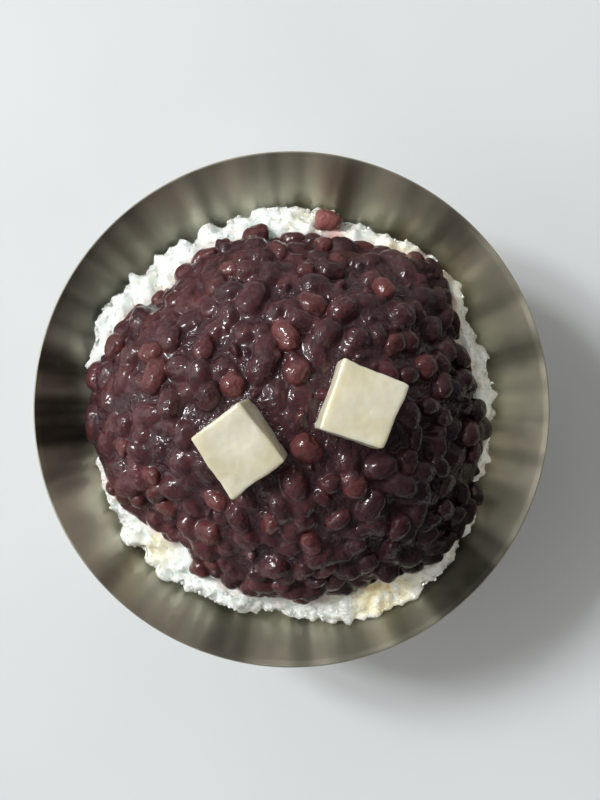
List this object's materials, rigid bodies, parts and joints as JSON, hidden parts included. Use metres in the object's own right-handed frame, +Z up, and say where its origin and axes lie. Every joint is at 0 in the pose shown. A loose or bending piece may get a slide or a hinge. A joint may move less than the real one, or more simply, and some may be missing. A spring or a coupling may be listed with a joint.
{
  "type": "bingsu",
  "caption": "Shaved ice heaped in a flared metal bowl, topped with a thick cap of sweet red beans and rice cakes.",
  "frame": {"origin": "middle of the bowl's flat foot, on the surface it stands on", "axes": "+Z up out of the bowl; +X and +Y are right and up as the served dish is seen from above"},
  "size_m": [0.1598, 0.1598, 0.1069],
  "materials": {
    "bowl": "satin",
    "shaved_ice": "matte",
    "red_beans": "gloss",
    "rice_cake": "satin"
  },
  "bodies": {
    "root": {"bowl": "bowl", "shaved_ice": "shaved_ice", "red_beans": "red_beans", "rice_cake_left": "rice_cake", "rice_cake_right": "rice_cake"}
  },
  "joints": []
}
